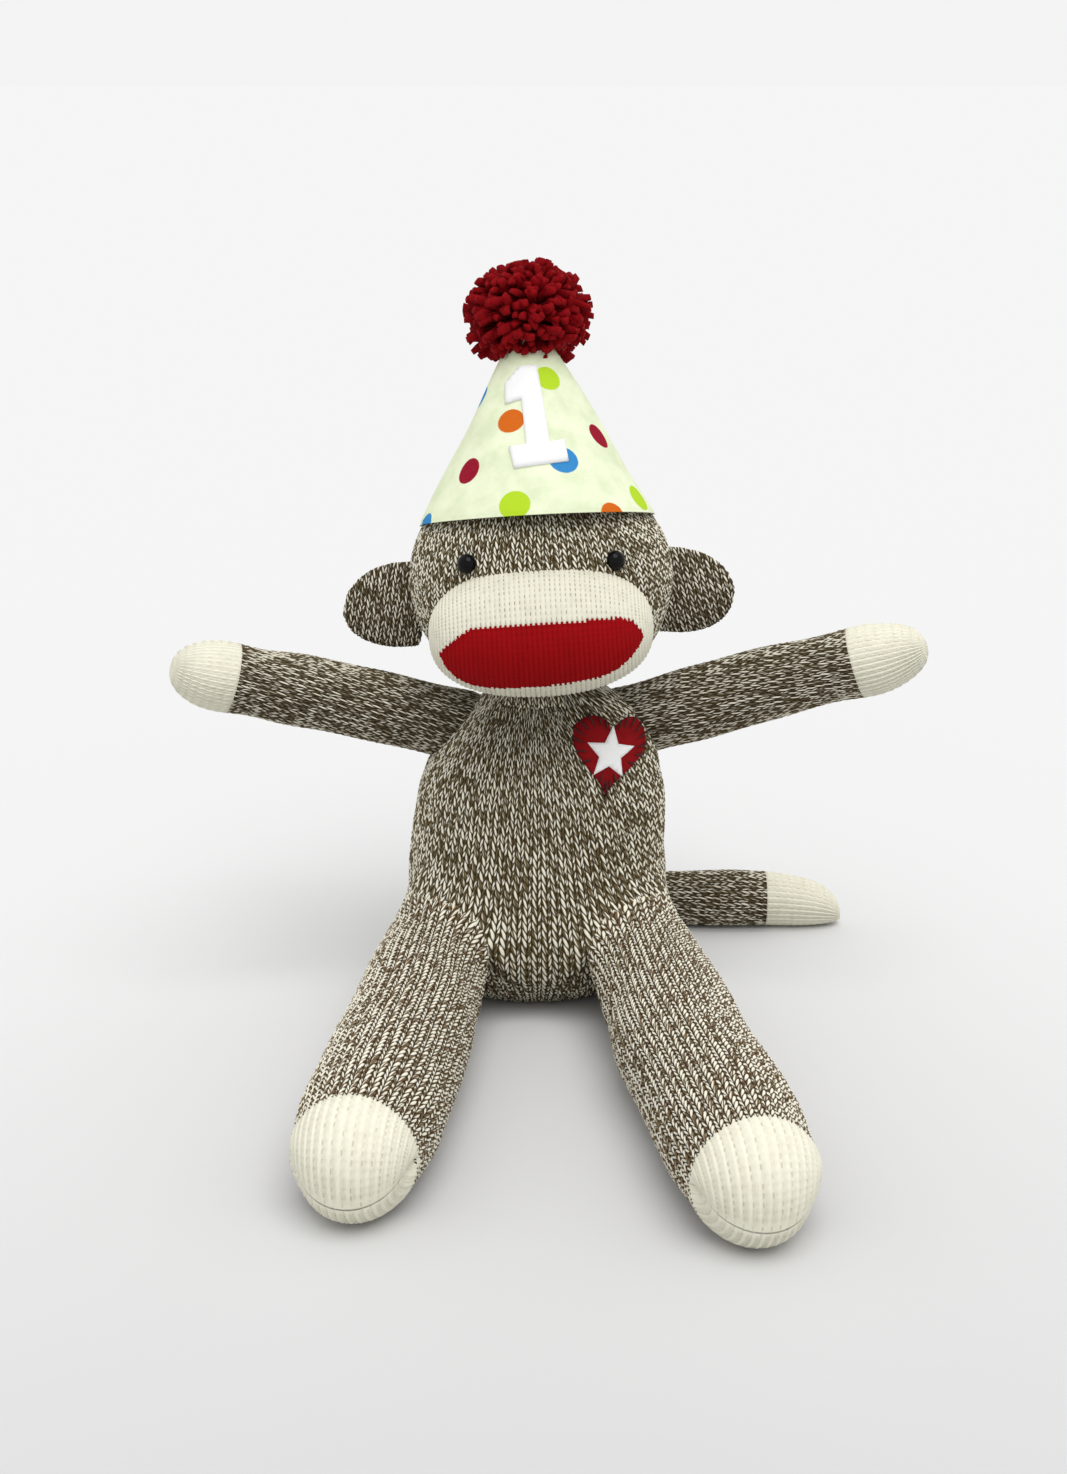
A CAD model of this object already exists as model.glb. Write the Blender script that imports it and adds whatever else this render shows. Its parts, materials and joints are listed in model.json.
import json
import math

import bmesh
import bpy
import numpy as np
from mathutils import Matrix, Vector


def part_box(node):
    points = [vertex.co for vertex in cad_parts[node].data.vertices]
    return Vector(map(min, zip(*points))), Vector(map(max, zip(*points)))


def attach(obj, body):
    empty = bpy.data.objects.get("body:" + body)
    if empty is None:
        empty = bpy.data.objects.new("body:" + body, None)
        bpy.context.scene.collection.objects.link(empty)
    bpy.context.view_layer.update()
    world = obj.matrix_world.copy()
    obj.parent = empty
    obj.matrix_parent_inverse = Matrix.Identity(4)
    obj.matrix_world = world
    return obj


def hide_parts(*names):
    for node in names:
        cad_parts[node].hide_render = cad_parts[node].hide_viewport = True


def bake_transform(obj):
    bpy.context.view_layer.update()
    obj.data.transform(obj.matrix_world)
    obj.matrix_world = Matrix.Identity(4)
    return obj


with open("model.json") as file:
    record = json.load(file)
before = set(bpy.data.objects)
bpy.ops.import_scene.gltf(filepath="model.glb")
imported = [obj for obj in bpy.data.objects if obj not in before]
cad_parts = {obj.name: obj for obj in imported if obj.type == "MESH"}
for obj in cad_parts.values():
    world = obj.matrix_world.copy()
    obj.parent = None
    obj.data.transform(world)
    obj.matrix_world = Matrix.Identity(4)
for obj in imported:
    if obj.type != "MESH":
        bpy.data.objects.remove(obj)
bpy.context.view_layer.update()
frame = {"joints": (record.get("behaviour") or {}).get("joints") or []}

MM = 0.001
JOINTS = {j["name"]: j for j in frame["joints"]}

# ---- sizes, in millimetres
COURSE = 3.2             # height of one body stitch
LEFT_SHARE = 0.36        # share of a stitch taken by its steep left leg
LEFT_SLOPE = -1.25       # courses that the left leg climbs over its own width
RIGHT_SLOPE = 1.1        # courses that the right leg falls over its own width
COLUMNS = (0.0, 0.18, 0.36, 0.57, 0.79)  # where the quads of a stitch begin, across it
ROWS = 4                 # quads of a stitch, up it
RELIEF = 1.1             # how far the yarn stands out of the cover
FINE_WALE = 2.3          # width of one stitch of the muzzle's finer knit

HEAD_CENTRE = np.array((1.6, -5.0, 206.0))
HEAD_SEMI = np.array((62.5, 56.0, 52.0))
MUZZLE_CENTRE = np.array((1.0, -50.0, 191.0))
MUZZLE_SEMI = np.array((52.0, 36.0, 31.0))
EYES = {"left": (35.5, 223.0), "right": (-32.5, 221.5)}
HAT_CENTRE = Vector((0, 0, 233))
HAT_LEAN_BACK = 14.0
HAT_LEAN_SIDE = 3.0
HAT_R = 56.0
HAT_H = 102.0
POMPOM_RISE = 97.0
POMPOM_SEMI = np.array((31.5, 29.0, 27.5))
POMPOM_STRANDS = 470
HEART_CENTRE = (34.0, 124.6)
HEART_HALF = 17.0
HEART_EDGE = HEART_HALF * 1.07
HEART_TURN = -8.0
STAR_R = 11.5

# half width of the torso by height
TORSO_WIDTHS = [(0, 40), (4, 50), (10, 57), (22, 62), (40, 64), (60, 63.7), (80, 61.5),
                (100, 58), (110, 54.5), (118, 50), (128, 42.5), (134, 36.5), (140, 30.5),
                (146, 26), (151, 22.5), (156, 20)]
# how far the monkey's left shoulder stands out, by height
SHOULDER = [(70, 0), (92, 3.5), (110, 5.5), (128, 13), (134, 15.5), (141, 17), (149, 12.5),
            (153, 8), (157, 2)]
# the middle and spread of that shoulder, and of the crease that parts it from the neck
SHOULDER_TURN = (1.35, 0.55)
CREASE_DEPTH, CREASE_TURN, CREASE_HEIGHT = 4.5, (0.52, 0.13), (143, 11)
# how deep the torso is in front and behind, for its half width
TORSO_FRONTS = [(0, 1.1), (3, 1.0), (6, 0.98), (10, 0.99), (16, 1.05), (22, 1.09), (30, 1.1),
                (45, 1.06), (60, 1.0), (80, 0.92), (120, 0.84), (156, 0.84)]
TORSO_BACK = 0.9
TORSO_SQUARE = 2.25      # 2 is an ellipse, more is squarer


# ---- materials
class Graph:
    """A short way to write a material's node sums."""

    def __init__(self, name):
        self.material = bpy.data.materials.new(name)
        self.material.use_nodes = True
        self.tree = self.material.node_tree
        self.tree.nodes.clear()
        self.shader = self.node("ShaderNodeBsdfPrincipled")
        self.node("ShaderNodeOutputMaterial", {0: self.shader.outputs[0]})

    def node(self, kind, inputs=None, **settings):
        made = self.tree.nodes.new(kind)
        for key, value in settings.items():
            setattr(made, key, value)
        for key, value in (inputs or {}).items():
            self.put(made.inputs[key], value)
        return made

    def put(self, socket, value):
        if isinstance(value, bpy.types.NodeSocket):
            self.tree.links.new(value, socket)
        else:
            socket.default_value = value

    def sum(self, operation, *values):
        return self.node("ShaderNodeMath", dict(enumerate(values)), operation=operation).outputs[0]

    def plus(self, a, b):
        return self.sum("ADD", a, b)

    def minus(self, a, b):
        return self.sum("SUBTRACT", a, b)

    def times(self, a, b):
        return self.sum("MULTIPLY", a, b)

    def step(self, low, high, value):
        return self.node("ShaderNodeMapRange", {"Value": value, "From Min": low, "From Max": high},
                         interpolation_type="SMOOTHSTEP").outputs[0]

    def apart(self, vector):
        return self.node("ShaderNodeSeparateXYZ", {0: vector}).outputs[:2]

    def uv(self):
        return self.apart(self.node("ShaderNodeUVMap", uv_map="Stitch").outputs[0])

    def vector(self, x, y, z=0.0):
        return self.node("ShaderNodeCombineXYZ", {0: x, 1: y, 2: z}).outputs[0]

    def place(self):
        return self.node("ShaderNodeTexCoord").outputs["Object"]

    def noise(self, vector, scale, detail=2.0, rough=0.5):
        return self.node("ShaderNodeTexNoise", {"Vector": vector, "Scale": scale, "Detail": detail,
                                                "Roughness": rough}).outputs["Fac"]

    def random(self, vector):
        return self.node("ShaderNodeTexWhiteNoise", {"Vector": vector},
                         noise_dimensions="3D").outputs["Value"]

    def mix(self, factor, a, b):
        return self.node("ShaderNodeMix", {0: factor, 6: a, 7: b}, data_type="RGBA").outputs[2]

    def bump(self, height, distance, strength=1.0, under=None):
        inputs = {"Height": height, "Distance": distance, "Strength": strength}
        if under is not None:
            inputs["Normal"] = under
        return self.node("ShaderNodeBump", inputs).outputs[0]

    def finish(self, colour, normal=None, roughness=0.9, **rest):
        inputs = self.shader.inputs
        self.put(inputs["Base Color"], colour)
        inputs["Roughness"].default_value = roughness
        for key, value in rest.items():
            inputs[key.replace("_", " ")].default_value = value
        if normal is not None:
            self.put(inputs["Normal"], normal)
        return self.material


def srgb(red, green, blue):
    """A colour given as it looks on screen, 0 to 255, turned into the shader's linear one."""
    linear = []
    for value in (red, green, blue):
        share = value / 255
        linear.append(share / 12.92 if share <= 0.04045 else ((share + 0.055) / 1.055) ** 2.4)
    return (*linear, 1.0)


def stitch_sums(g):
    """The knit's stitch at a point: which leg, how far across it, and the yarn's place along it."""
    wale, course = g.uv()
    across = g.sum("FRACT", wale)
    is_left = g.sum("LESS_THAN", across, LEFT_SHARE)
    left = g.sum("DIVIDE", across, LEFT_SHARE)
    right = g.sum("DIVIDE", g.minus(across, LEFT_SHARE), 1 - LEFT_SHARE)
    side = g.plus(g.times(is_left, left), g.times(g.minus(1.0, is_left), right))
    slope = g.plus(g.times(is_left, LEFT_SLOPE - RIGHT_SLOPE), RIGHT_SLOPE)
    phase = g.plus(course, g.times(side, slope))
    return wale, is_left, side, phase


def knit_material(name, light, ply, dark, share, gap_from, gap_to):
    """Knit of a marled yarn: a stitch leg shows its pale ply or its dark one, with dark gaps."""
    g = Graph(name)
    wale, is_left, side, phase = stitch_sums(g)
    column = g.plus(g.sum("FLOOR", wale), g.times(is_left, 0.5))
    row = g.sum("FLOOR", phase)
    start = g.random(g.vector(column, row, 3.0))
    spare = g.random(g.vector(column, row, 8.0))
    twist = g.plus(g.times(side, 0.7), g.times(g.sum("FRACT", phase), 0.5))
    twist = g.sum("FRACT", g.plus(twist, start))
    band = g.noise(g.vector(g.times(wale, 0.16), g.times(row, 0.55)), 1.0, 1.0)
    pale = g.plus(1.0 - share - 0.42, g.times(spare, 0.34))
    pale = g.plus(pale, g.times(band, 0.5))
    past = g.minus(twist, pale)
    lit = g.times(g.step(0.0, 0.12, twist), g.step(0.08, -0.08, past))
    fibres = g.noise(g.place(), 2300.0, 3.0, 0.7)
    ridge = g.sum("SINE", g.times(g.sum("FRACT", phase), math.pi))
    body = g.sum("SINE", g.times(side, math.pi))
    height = g.times(g.sum("POWER", ridge, 0.7), g.sum("POWER", body, 0.7))
    rough = g.plus(height, g.times(g.minus(fibres, 0.5), 0.35))
    shade = g.mix(g.step(gap_from, gap_to, rough), dark, g.mix(lit, ply, light))
    normal = g.bump(rough, 0.0005, 0.6)
    return g.finish(shade, normal, 0.95, Specular_IOR_Level=0.15)


def fine_knit_material(name, colour, groove, depth=0.5):
    """Close, even knit: upright columns with a small gap beside each stitch."""
    g = Graph(name)
    wale, course = g.uv()
    column = g.sum("ABSOLUTE", g.sum("SINE", g.times(wale, math.pi)))
    row = g.sum("ABSOLUTE", g.sum("SINE", g.times(course, math.pi)))
    fibres = g.noise(g.place(), 2400.0, 3.0, 0.7)
    height = g.times(g.sum("POWER", column, 0.6), g.plus(0.7, g.times(row, 0.3)))
    dash = g.times(g.step(0.42, 0.12, column), g.step(0.35, 0.85, row))
    cell = g.random(g.vector(g.sum("FLOOR", g.plus(wale, 0.5)), g.sum("FLOOR", course), 5.0))
    dash = g.times(dash, g.plus(0.15, g.times(cell, 0.85)))
    patch = g.noise(g.place(), 160.0, 3.0)
    shade = g.mix(g.times(dash, depth), colour, groove)
    shade = g.mix(g.times(g.step(0.4, 0.75, patch), 0.12), shade, groove)
    normal = g.bump(g.plus(height, g.times(fibres, 0.4)), 0.0004, 0.5)
    return g.finish(shade, normal, 0.95, Specular_IOR_Level=0.1)


def felt_material(name, colour, tint, amount=0.25):
    g = Graph(name)
    cloud = g.noise(g.place(), 90.0, 4.0, 0.6)
    hair = g.noise(g.place(), 1900.0, 4.0, 0.75)
    shade = g.mix(g.times(g.step(0.35, 0.75, cloud), amount), colour, tint)
    shade = g.mix(g.times(g.step(0.5, 0.75, hair), amount), shade, tint)
    normal = g.bump(hair, 0.0004, 0.45, g.bump(cloud, 0.001, 0.2))
    return g.finish(shade, normal, 0.97, Specular_IOR_Level=0.08)


def plain_material(name, colour, roughness, grain=0.0, **rest):
    """Moulded plastic or thread: one colour with a faint grain."""
    g = Graph(name)
    speck = g.noise(g.place(), 700.0, 2.0)
    deeper = tuple(c * 0.82 for c in colour[:3]) + (1.0,)
    shade = g.mix(g.times(speck, 0.35), colour, deeper)
    return g.finish(shade, g.bump(speck, 0.0003, grain) if grain else None, roughness, **rest)


DOT_COLOURS = {
    "blue": srgb(54, 130, 188), "lime": srgb(172, 206, 42), "orange": srgb(200, 98, 24),
    "crimson": srgb(142, 16, 40),
}
# printed dots on the felt: (degrees round from the front, height above the brim, size, colour)
DOTS = [
    (24, 64, 6.6, "lime"), (-18, 44, 6.4, "orange"), (60, 36, 6.6, "crimson"),
    (-45, 22, 6.8, "crimson"), (18.5, 24, 7.0, "blue"), (-10.5, 4, 7.4, "lime"),
    (38, -2.5, 6.8, "orange"), (65, 6, 6.8, "lime"), (-68, -2, 6.8, "blue"),
    (-78, 58, 6.0, "blue"), (96, 62, 6.2, "blue"), (-100, 26, 6.6, "orange"),
    (104, 26, 6.8, "blue"), (-126, 4, 6.8, "lime"), (128, 4, 6.8, "crimson"),
    (136, 46, 6.4, "orange"), (-140, 42, 6.4, "crimson"), (158, 22, 6.8, "lime"),
    (-166, 22, 6.8, "blue"), (180, 3, 6.8, "orange"), (176, 60, 6.2, "lime"),
    (-155, 66, 5.8, "orange"),
]


def printed_felt_material():
    """Pale felt with printed dots; its UV is the cone laid flat, in millimetres."""
    g = Graph("printed_felt")
    cloud = g.noise(g.place(), 70.0, 4.0, 0.6)
    hair = g.noise(g.place(), 1700.0, 4.0, 0.75)
    shade = g.mix(g.step(0.35, 0.7, cloud), srgb(226, 232, 202), srgb(209, 219, 184))
    x, y = g.uv()
    slant = math.hypot(HAT_R, HAT_H)
    for degrees, height, size, tone in DOTS:
        far = slant * (1 - height / HAT_H)
        turn = math.radians(degrees) * HAT_R / slant
        dx = g.minus(x, far * math.sin(turn))
        dy = g.minus(y, -far * math.cos(turn))
        gone = g.sum("SQRT", g.plus(g.times(dx, dx), g.times(dy, dy)))
        gone = g.plus(gone, g.times(g.minus(hair, 0.5), 1.1))
        inside = g.step(size + 0.25, size - 0.25, gone)
        shade = g.mix(inside, shade, DOT_COLOURS[tone])
    shade = g.mix(g.times(g.step(0.5, 0.8, hair), 0.06), shade, srgb(255, 255, 245))
    normal = g.bump(hair, 0.0004, 0.4, g.bump(cloud, 0.0015, 0.25))
    return g.finish(shade, normal, 0.97, Specular_IOR_Level=0.08)


def yarn_material(name, light, dark):
    g = Graph(name)
    along, round_it = g.uv()
    fibres = g.noise(g.vector(g.times(along, 0.6), g.times(round_it, 5.0)), 3.0, 3.0, 0.7)
    strand = g.random(g.vector(g.sum("FLOOR", g.times(along, 0.01)), 0.0, 1.0))
    shade = g.mix(g.step(0.3, 0.75, fibres), dark, light)
    shade = g.mix(g.times(strand, 0.3), shade, dark)
    normal = g.bump(fibres, 0.0005, 0.6)
    return g.finish(shade, normal, 0.9, Specular_IOR_Level=0.1)


MATERIALS = {
    "marled": knit_material("marled_knit", srgb(232, 227, 208), srgb(98, 84, 56), srgb(50, 41, 25),
                            0.42, 0.2, 0.75),
    "leg": knit_material("leg_knit", srgb(234, 229, 211), srgb(112, 92, 64), srgb(56, 45, 29),
                         0.3, 0.2, 0.75),
    "limb": knit_material("limb_knit", srgb(224, 218, 200), srgb(90, 78, 54), srgb(46, 38, 24),
                          0.5, 0.2, 0.75),
    "cream": fine_knit_material("cream_knit", srgb(232, 229, 211), srgb(165, 156, 126), 0.5),
    "muzzle": fine_knit_material("cream_fine_knit", srgb(217, 214, 197), srgb(112, 104, 84), 0.8),
    "mouth": fine_knit_material("red_fine_knit", srgb(146, 8, 13), srgb(92, 2, 6), 0.5),
    "heart": felt_material("red_felt", srgb(136, 20, 24), srgb(92, 11, 15), 0.5),
    "white": felt_material("white_felt", srgb(234, 234, 234), srgb(222, 222, 224), 0.3),
    "hat": printed_felt_material(),
    "pompom": yarn_material("red_yarn", srgb(172, 12, 22), srgb(92, 2, 7)),
    "dark_thread": plain_material("dark_red_thread", srgb(60, 6, 10), 0.8, 0.3),
    "eye": plain_material("black_plastic", srgb(3, 3, 3), 0.13, Specular_IOR_Level=0.15),
}


# ---- mesh helpers
def mesh_piece(name, vertices, faces, uvs, material):
    """A mesh from millimetre points; uvs has one pair for each corner of each face."""
    mesh = bpy.data.meshes.new(name)
    mesh.from_pydata((np.asarray(vertices) * MM).tolist(), [], [list(f) for f in faces])
    mesh.polygons.foreach_set("use_smooth", np.ones(len(mesh.polygons), bool))
    layer = mesh.uv_layers.new(name="Stitch")
    layer.uv.foreach_set("vector", np.asarray(uvs, np.float32).ravel())
    mesh.materials.append(MATERIALS[material])
    piece = bpy.data.objects.new(name, mesh)
    bpy.context.collection.objects.link(piece)
    return piece


def stitch_uv(wales, v):
    """The stitch coordinates of a tube's corners, the closing column included."""
    return np.stack(np.meshgrid(np.append(stitch_columns(wales), wales), v, indexing="ij"), 2)


def ring_quads(nu, nv):
    """The column and row where each quad of a tube's grid begins, and the quads themselves."""
    i, j = np.meshgrid(np.arange(nu), np.arange(nv - 1), indexing="ij")
    i, j = i.ravel(), j.ravel()
    k = (i + 1) % nu
    return i, j, np.stack([i * nv + j, k * nv + j, k * nv + j + 1, i * nv + j + 1], 1)


def look_inward(quads, vertices, centre):
    """Whether the faces, taken together, look towards the centre."""
    a, b, c = (vertices[quads[:, n]] - centre for n in (0, 1, 2))
    return np.einsum("ij,ij->i", a, np.cross(b, c)).sum() < 0


def tube_mesh(name, points, uv, material):
    """A closed tube from a grid of points, round along the first index, capped at both ends."""
    nu, nv = points.shape[:2]
    i, j, quads = ring_quads(nu, nv)
    corner = np.stack([uv[i, j], uv[i + 1, j], uv[i + 1, j + 1], uv[i, j + 1]], 1)
    points = points.reshape(-1, 3)
    start = [n * nv for n in range(nu)][::-1]
    end = [n * nv + nv - 1 for n in range(nu)]
    if look_inward(quads, points, points.mean(0)):
        quads, corner = quads[:, ::-1], corner[:, ::-1]
        start, end = start[::-1], end[::-1]
    caps = np.array([uv[n // nv, n % nv] for n in start + end])
    uvs = np.concatenate([corner.reshape(-1, 2), caps])
    return mesh_piece(name, points, quads.tolist() + [start, end], uvs, material)


def unit(vectors):
    """The same directions, each of length one."""
    return vectors / np.maximum(np.linalg.norm(vectors, axis=-1, keepdims=True), 1e-9)


def normals_of(points):
    """Unit normals of a grid that closes along its first index, pointing away from its middle."""
    along_u = np.roll(points, -1, 0) - np.roll(points, 1, 0)
    normal = unit(np.cross(along_u, np.gradient(points, axis=1)))
    outward = np.einsum("ijk,ijk->", normal, points - points.mean(0, keepdims=True)) >= 0
    return normal if outward else -normal


def stitch_columns(wales):
    """Where the columns of quads stand, in stitches."""
    return (np.arange(wales)[:, None] + np.array(COLUMNS)).ravel()


def ring_angles(wales, start=0.0):
    return stitch_columns(wales) * 2 * math.pi / wales + start


def stitch_height(wale, course):
    """How far the yarn stands out, 0 to 1, over the stitch's two unequal legs."""
    across = wale - np.floor(wale)
    is_left = across < LEFT_SHARE - 1e-6
    side = np.where(is_left, across / LEFT_SHARE, (across - LEFT_SHARE) / (1 - LEFT_SHARE))
    phase = course + side * np.where(is_left, LEFT_SLOPE, RIGHT_SLOPE)
    ridge = np.sin(math.pi * (phase - np.floor(phase)))
    body = np.sin(math.pi * np.clip(side, 0, 1))
    return np.clip(body, 0, 1) ** 0.6 * (0.35 + 0.65 * np.clip(ridge, 0, 1) ** 0.7)


def lumps(points, size, amount, seed):
    """Soft unevenness of the stuffing: a few crossing waves."""
    rng = np.random.default_rng(seed)
    total = np.zeros(points.shape[:2])
    for _ in range(5):
        wave = rng.normal(size=3)
        wave /= np.linalg.norm(wave) * size * rng.uniform(0.7, 1.4)
        total += np.sin(points @ wave * 2 * math.pi + rng.uniform(0, 6.28))
    return total * amount / 5


def smooth_min(a, b, width):
    h = np.clip(0.5 + 0.5 * (b - a) / width, 0, 1)
    return b * (1 - h) + a * h - width * h * (1 - h)


def smoothstep(low, high, value):
    t = np.clip((value - low) / (high - low), 0, 1)
    return t * t * (3 - 2 * t)


def bell(value, middle, spread):
    """One at the middle, falling away softly on both sides."""
    return np.exp(-((value - middle) / spread) ** 2)


def push(points, normals, distance):
    """Move points along their normals."""
    return points + normals * distance[..., None]


def run_along(x, y):
    """The length run along a line of points, from its start to each of them."""
    return np.concatenate([[0], np.cumsum(np.hypot(np.diff(x), np.diff(y)))])


def full_turn(count):
    """Even angles round a circle, its end left out."""
    return np.arange(count) * 2 * math.pi / count


def rest_on_ground(points, soft=2.4, clear=0.12):
    """Press whatever would go below the ground into a flat, soft-edged patch."""
    z = points[..., 2]
    points[..., 2] = 0.5 * (z + np.sqrt(z * z + soft * soft)) - soft * 0.12 + clear
    points[..., 2] = np.maximum(points[..., 2], clear)
    return points


def knit(points, wales, courses, relief, fade_start=0.0, fade_end=0.0):
    """Lift the yarn's relief out of a grid of points whose sides follow wales and courses."""
    v = np.linspace(0, courses, points.shape[1])
    grid_u, grid_v = np.meshgrid(stitch_columns(wales), v, indexing="ij")
    strength = np.ones_like(grid_v)
    if fade_start:
        strength *= smoothstep(0, fade_start, grid_v)
    if fade_end:
        strength *= 1 - smoothstep(courses - fade_end, courses, grid_v)
    height = (stitch_height(grid_u, grid_v) - 0.5) * relief
    return push(points, normals_of(points), height * strength), stitch_uv(wales, v)


def dress(piece, body, *nodes, slot, fill=None):
    """Say what a piece rides on and stands for; a piece without a body is blended later."""
    if body:
        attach(piece, body)
    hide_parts(*nodes)


# ---- limbs as lines with a radius
def box_mm(node):
    low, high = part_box(node)
    return np.array(low) / MM, np.array(high) / MM


def limb_line(joint, end_node, radius):
    """The hinge point and the middle of the round far end, from the frame."""
    start = np.array(JOINTS[joint]["pos_m"]) / MM
    low, high = box_mm(end_node)
    middle = (low + high) / 2
    away = np.sign(middle - start)
    return start, np.where(away > 0, high - radius, low + radius)


def segment_distance(points, start, end):
    line = end - start
    share = np.clip((points - start) @ line / (line @ line), 0, 1)
    return np.linalg.norm(points - start - share[..., None] * line, axis=-1)


ARM_R, LEG_R, TAIL_R = 17.5, 27.0, 15.0
ARM_GAUGE = (2.7, 4.2)   # width and height of one stitch, drawn out along the arm
LEG_GAUGE = (4.1, 3.5)
EAR_GAUGE = (3.5, 2.9)
TAIL_GAUGE = (3.2, 3.8)
ARM_TIP, TAIL_TIP = 30.0, 44.0   # length of the rounded end
ARMS = {"left": (2.0, 36, 11), "right": (1.5, 32, 17)}  # rise, length of the paw, unevenness
LEG_SEEDS = {"left": 23, "right": 31}
TAIL_PALE = 41.0         # length of the pale tip
ROOT_SET_BACK = 6.0      # how far the arms' roots sit behind their hinge lines
ROOT_SPREAD = 5.0        # how far the legs' roots stand outwards
TOE_SEAM_ANGLE = -24.0
TOE_COURSES = 14
LINES = {
    "left_leg": limb_line("left_hip", "left_foot", LEG_R),
    "right_leg": limb_line("right_hip", "right_foot", LEG_R),
    "left_arm": limb_line("left_shoulder", "left_paw", ARM_R),
    "right_arm": limb_line("right_shoulder", "right_paw", ARM_R),
    "tail": limb_line("tail_sweep", "tail_tip", TAIL_R),
}
for line_name in ("left_leg", "right_leg", "tail"):     # these lie level on the ground
    LINES[line_name][1][2] = LINES[line_name][0][2]


# ---- torso
def torso_half_width(z):
    """Half the torso's width at a height."""
    heights, widths = zip(*TORSO_WIDTHS)
    return np.interp(z, heights, widths)


def torso_front(z):
    """How deep the torso is in front, for its half width: the belly fills out low down."""
    heights, shares = zip(*TORSO_FRONTS)
    return np.interp(z, heights, shares)


def torso_radius(angle, z):
    """Distance from the torso's axis to its cover at an angle (0 is the front) and height."""
    half = torso_half_width(z)
    x, y = np.sin(angle), -np.cos(angle)
    depth = np.where(y < 0, torso_front(z), TORSO_BACK)
    n = TORSO_SQUARE
    round_part = (np.abs(x) ** n + np.abs(y / depth) ** n) ** (-1 / n)
    turn = (angle + math.pi) % (2 * math.pi) - math.pi
    heights, lifts = zip(*SHOULDER)
    mound = np.interp(z, heights, lifts) * bell(turn, *SHOULDER_TURN)
    crease = CREASE_DEPTH * bell(turn, *CREASE_TURN) * bell(z, *CREASE_HEIGHT)
    return half * round_part + mound - crease


def torso_distance(points):
    """How far points are outside the torso; negative is inside."""
    angle = np.arctan2(points[..., 0], -points[..., 1])
    gone = np.hypot(points[..., 0], points[..., 1])
    return gone - torso_radius(angle, points[..., 2])


def limbs_distance(points):
    """How far points are outside both legs."""
    left = segment_distance(points, *LINES["left_leg"]) - LEG_R
    right = segment_distance(points, *LINES["right_leg"]) - LEG_R
    return np.minimum(left, right)


def fillet(points, normals, own, other, width, most):
    """Push a grid outwards until it lies on the soft union of its own body and another one."""
    moved = np.zeros(points.shape[:2])
    for _ in range(10):
        at = push(points, normals, moved)
        gap = smooth_min(own(at), other(at), width)
        moved = np.clip(moved - gap * 0.8, 0, most * smoothstep(16, 46, points[..., 2]))
    at = push(points, normals, moved)
    under = smoothstep(0, 5, own(at) - other(at))
    return push(at, normals, under * -1.6)


HIP_BLEND = 22.0         # how widely the legs' knit flows into the torso's
HIP_MOST = 10.0
SEAT_CAP = 18.0          # radius of the flat middle of the seat, closed by one face
TORSO_TOP = 156.0
GATHER_HEIGHTS = (126, 150)
PLEATS, PLEAT_DEPTH = 15, 3.0
COLLAR_SINKS = 3.5       # how far the torso's top edge draws in
RIGHT_SHOULDER = 2.5     # how much the right shoulder is filled out


def torso_profile(courses):
    """Heights and radii from the seat's middle, round its edge and up to the neck."""
    flat = torso_half_width(0)
    heights = np.linspace(0, TORSO_TOP, 400)
    dense_z = np.concatenate([np.zeros(40), heights])
    dense_r = np.concatenate([np.linspace(SEAT_CAP, flat, 40), torso_half_width(heights)])
    length = run_along(dense_z, dense_r)
    at = np.linspace(0, length[-1], courses * ROWS + 1)
    return np.interp(at, length, dense_z), np.interp(at, length, dense_r)


def build_torso():
    """The knit body: gathered and pleated at the neck, filleted into the legs, flat below."""
    wales, courses = 88, 56
    z, r = torso_profile(courses)
    z = np.convolve(np.pad(z, 6, mode="edge"), np.ones(13) / 13, "valid")
    a, zz = np.meshgrid(ring_angles(wales, math.pi), z, indexing="ij")
    radius = torso_radius(a, zz) * np.minimum(r / torso_half_width(z), 1.0)
    # pleats in front and behind where the cover is gathered, and a fuller right shoulder
    gather = smoothstep(*GATHER_HEIGHTS, zz)
    fold = 1 - np.abs(np.sin(a * PLEATS / 2 + 0.45 * np.sin(a * 3 + 0.6)))
    pleats = 0.8 * np.sin(a * 13) - PLEAT_DEPTH * fold ** 2
    sunk = pleats * gather - COLLAR_SINKS * smoothstep(146, 154, zz)
    radius = radius + sunk * smoothstep(0.1, 0.6, np.abs(np.cos(a)))
    radius = radius + RIGHT_SHOULDER * smoothstep(138, 150, zz) * bell(a, -1.25, 0.4)
    points = np.stack([radius * np.sin(a), -radius * np.cos(a), zz], 2)
    normals = normals_of(points)
    points = push(points, normals, lumps(points, 70, 1.6, 3))
    points = fillet(points, normals, torso_distance, limbs_distance, HIP_BLEND, HIP_MOST)
    points, uv = knit(points, wales, courses, RELIEF, 2, 1)
    points = rest_on_ground(points)
    piece = tube_mesh("torso_knit", points, uv, "marled")
    dress(piece, "torso", "torso_cover", "torso_stuffing", slot="marled_knit", fill=0.85)


# ---- limbs
def limb_profile(length, radius, back, tip):
    """Places and radii along a limb: round behind, straight, then a rounded tip."""
    quarter = np.linspace(0, math.pi / 2, 60)
    body = length + radius - tip
    reach = np.concatenate([-back - radius * np.cos(quarter), np.linspace(-back, body, 200)[1:],
                            body + tip * np.sin(quarter)[1:]])
    girth = np.concatenate([radius * np.sin(quarter), np.full(199, radius),
                            radius * np.cos(quarter)[1:] ** 0.9])
    return reach, np.maximum(girth, 0.35)


def limb_axes(start, end):
    """The directions along a limb, level across it, and up from it."""
    along = unit(end - start)
    side = unit(np.cross(along, (0, 0, 1.0)))
    return along, side, np.cross(side, along)


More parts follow.
